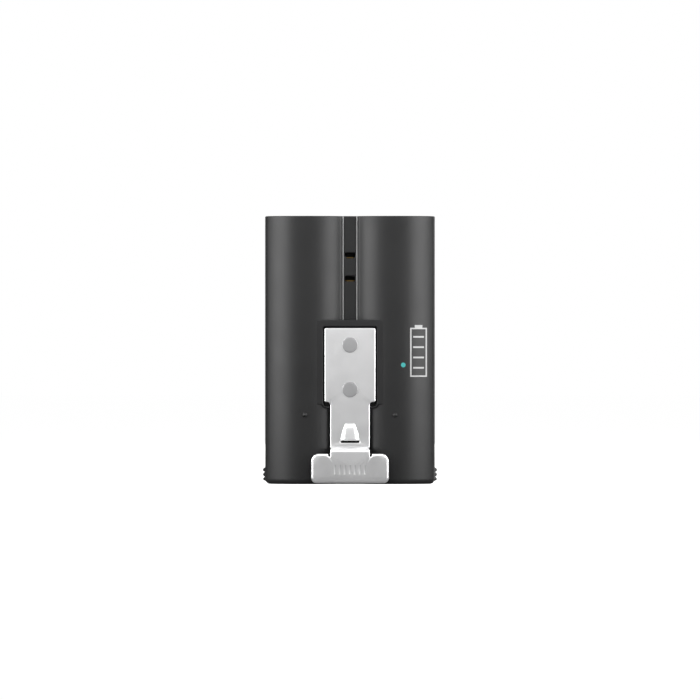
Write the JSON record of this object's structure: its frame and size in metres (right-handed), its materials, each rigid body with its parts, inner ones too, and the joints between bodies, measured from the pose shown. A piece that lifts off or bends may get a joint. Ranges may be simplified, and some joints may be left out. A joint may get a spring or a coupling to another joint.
{
  "type": "video doorbell battery pack",
  "caption": "Removable rechargeable battery pack with a lobed case, recessed contact slots, a sprung steel release latch and a charging socket.",
  "frame": {"origin": "middle of the bounding box at the bottom end's face", "axes": "+Z along the case to the end that enters the doorbell first, -Y out of the side with the latch, +X to the right seen from the latch side"},
  "size_m": [0.0456, 0.024, 0.07],
  "materials": {
    "case_plastic": "fine satin texture",
    "latch_steel": "satin",
    "rivet_steel": "satin",
    "contact_gold": "gold plated",
    "carrier_plastic": "matte",
    "cell_sleeve": "shrink film",
    "cell_steel": "nickel plated",
    "foil_winding": "wound foil",
    "gasket": "matte",
    "nickel": "satin",
    "foam": "matte foam",
    "spacer_plastic": "matte",
    "board": "solder mask",
    "chip": "moulded",
    "ferrite": "matte",
    "component_ceramic": "satin",
    "port_steel": "satin",
    "clear_plastic": "clear",
    "led_lens": "diffuse",
    "wire_red": "smooth",
    "wire_black": "smooth",
    "epoxy": "dipped",
    "label_vinyl": "printed film"
  },
  "bodies": {
    "pack": {"front_shell": "case_plastic", "rear_shell": "case_plastic", "port_bezel": "case_plastic", "rear_label": "label_vinyl", "latch_plate": "latch_steel", "latch_backing_plate": "cell_steel", "latch_rivet_upper": "rivet_steel", "latch_rivet_lower": "rivet_steel", "contact_blade_upper": "contact_gold", "contact_blade_lower": "contact_gold", "contact_wire_upper": "wire_red", "contact_wire_lower": "wire_black", "contact_carrier": "carrier_plastic", "cell_left_can": "cell_steel", "cell_left_winding": "foil_winding", "cell_left_gasket": "gasket", "cell_left_positive_cap": "cell_steel", "cell_left_sleeve": "cell_sleeve", "cell_right_can": "cell_steel", "cell_right_winding": "foil_winding", "cell_right_gasket": "gasket", "cell_right_positive_cap": "cell_steel", "cell_right_sleeve": "cell_sleeve", "bus_strip_positive": "nickel", "bus_strip_negative": "nickel", "cell_spacer": "spacer_plastic", "foam_pad_top": "foam", "foam_pad_bottom": "foam", "usb_shell": "port_steel", "usb_insert": "chip", "main_board": "board", "charger_chip": "chip", "fuel_gauge_chip": "chip", "inductor": "ferrite", "fuse": "component_ceramic", "protection_mosfet": "chip", "input_capacitor": "component_ceramic", "output_capacitor": "component_ceramic", "sense_resistor": "chip", "led_red": "led_lens", "led_green": "led_lens", "light_pipe_red": "clear_plastic", "light_pipe_green": "clear_plastic", "thermistor": "epoxy", "thermistor_lead_left": "nickel", "thermistor_lead_right": "nickel"},
    "latch": {"latch_arm": "latch_steel"}
  },
  "joints": [
    {"name": "latch_flex", "type": "hinge", "parent": "pack", "child": "latch", "pos_m": [0, -0.0082, 0.0204], "axis": [1, 0, 0], "range_deg": [0, 5.5], "stiffness_Nm_per_rad": 3}
  ]
}
